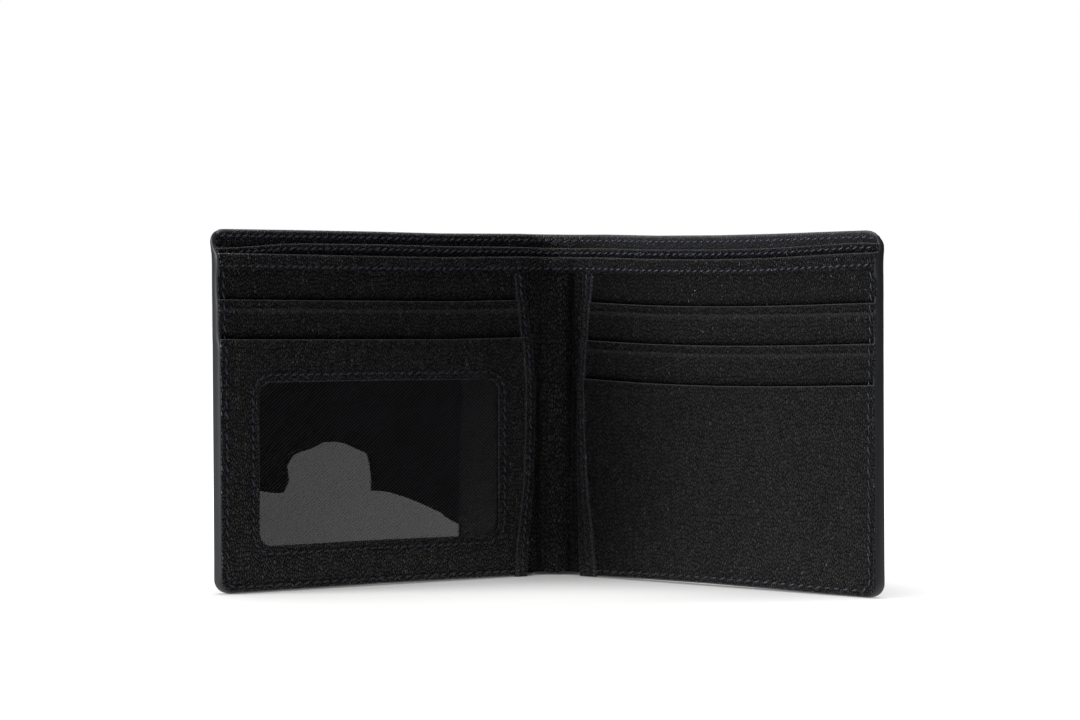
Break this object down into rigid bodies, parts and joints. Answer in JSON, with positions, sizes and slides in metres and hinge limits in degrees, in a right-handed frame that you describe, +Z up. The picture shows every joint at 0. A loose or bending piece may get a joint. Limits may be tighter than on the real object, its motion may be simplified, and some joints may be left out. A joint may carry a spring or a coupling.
{
  "type": "bifold wallet",
  "caption": "Bifold leather wallet standing part-way open, with full-width note compartments, stepped card slots and a clear identity card window; each wing folds at the spine.",
  "frame": {"origin": "foot of the spine, midway between the two fold lines, in the middle of the cover leather", "axes": "+Z up the wallet's height, +X towards the right wing, -Y the side that the wallet opens to"},
  "size_m": [0.1692, 0.0629, 0.092],
  "materials": {
    "leather_black": "pebbled grain, satin",
    "edge_paint": "smooth painted edge, satin",
    "thread_navy": "twisted thread",
    "lining_twill": "fine twill",
    "window_clear": "clear glossy film"
  },
  "bodies": {
    "spine": {"bill_divider_spine": "lining_twill", "bill_wall_spine": "lining_twill", "centre_strip": "leather_black", "cover_lining_spine": "lining_twill", "cover_spine": "leather_black", "divider_trim_spine": "leather_black", "foot_band_spine": "edge_paint", "outer_stitches_spine": "thread_navy", "stitches_spine": "thread_navy", "top_hem_spine": "leather_black"},
    "left_wing": {"base_panel_left": "leather_black", "bill_divider_left": "lining_twill", "bill_wall_left": "lining_twill", "binding_stitches_left": "thread_navy", "cover_left": "leather_black", "cover_lining_left": "lining_twill", "divider_trim_left": "leather_black", "edge_band_left": "edge_paint", "edge_stitches_left": "thread_navy", "id_pocket_lining": "lining_twill", "id_window_film": "window_clear", "id_window_frame": "leather_black", "outer_stitches_left": "thread_navy", "pocket_binding_left": "leather_black", "top_hem_left": "leather_black", "top_stitches_left": "thread_navy", "upper_card_pocket_left": "leather_black", "upper_pocket_tab_left": "lining_twill", "window_stitches": "thread_navy"},
    "right_wing": {"base_panel_right": "leather_black", "bill_divider_right": "lining_twill", "bill_wall_right": "lining_twill", "binding_stitches_right": "thread_navy", "cover_lining_right": "lining_twill", "cover_right": "leather_black", "divider_trim_right": "leather_black", "edge_band_right": "edge_paint", "edge_stitches_right": "thread_navy", "lower_card_pocket": "leather_black", "middle_card_pocket": "leather_black", "middle_pocket_tab": "lining_twill", "outer_stitches_right": "thread_navy", "pocket_binding_right": "leather_black", "top_hem_right": "leather_black", "top_stitches_right": "thread_navy", "upper_card_pocket_right": "leather_black", "upper_pocket_tab_right": "lining_twill"}
  },
  "joints": [
    {"name": "left_fold", "type": "hinge", "parent": "spine", "child": "left_wing", "pos_m": [-0.00475, 0, 0], "axis": [0, 0, 1], "range_deg": [-36.5, 53.5]},
    {"name": "right_fold", "type": "hinge", "parent": "spine", "child": "right_wing", "pos_m": [0.00475, 0, 0], "axis": [0, 0, -1], "range_deg": [-36.5, 53.5]}
  ]
}
